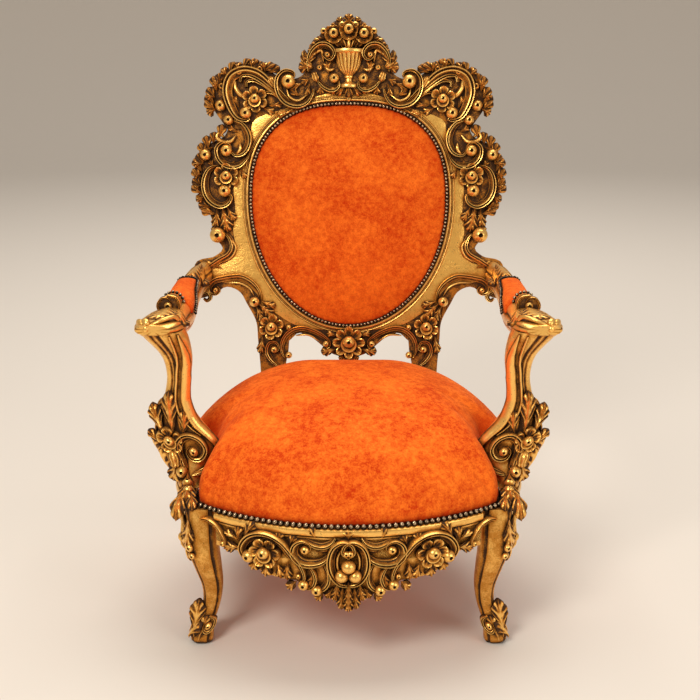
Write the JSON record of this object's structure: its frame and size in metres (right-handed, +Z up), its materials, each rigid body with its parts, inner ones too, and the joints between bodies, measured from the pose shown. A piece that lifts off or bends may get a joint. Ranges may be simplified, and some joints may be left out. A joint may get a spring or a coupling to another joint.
{
  "type": "throne armchair",
  "caption": "Carved and gilded baroque throne armchair with a velvet dome seat, an oval padded back, padded arms, a pierced crest with an urn and cabriole front legs.",
  "frame": {"origin": "middle of the chair's footprint, on the floor under its feet", "axes": "+Z up, the sitter faces -Y, +X to the right of a viewer who faces the chair"},
  "size_m": [0.8714, 0.8694, 1.2669],
  "materials": {
    "gilded_wood": "antique gold leaf over carved wood, dark patina in the recesses",
    "velvet": "orange pile velvet with a mottled nap",
    "nails": "dark bronzed upholstery nails"
  },
  "bodies": {
    "root": {"crest_rail": "gilded_wood", "back_stile_left": "gilded_wood", "back_stile_right": "gilded_wood", "back_bottom_rail": "gilded_wood", "front_rail": "gilded_wood", "front_leg_left": "gilded_wood", "front_leg_right": "gilded_wood", "side_rail_left": "gilded_wood", "side_rail_right": "gilded_wood", "rear_rail": "gilded_wood", "arm_support_left": "gilded_wood", "arm_support_right": "gilded_wood", "arm_left": "gilded_wood", "arm_right": "gilded_wood", "seat_cushion": "velvet", "back_pad": "velvet", "outside_back": "velvet", "arm_pad_left": "velvet", "arm_pad_right": "velvet", "back_nails": "nails", "seat_nails": "nails"}
  },
  "joints": []
}
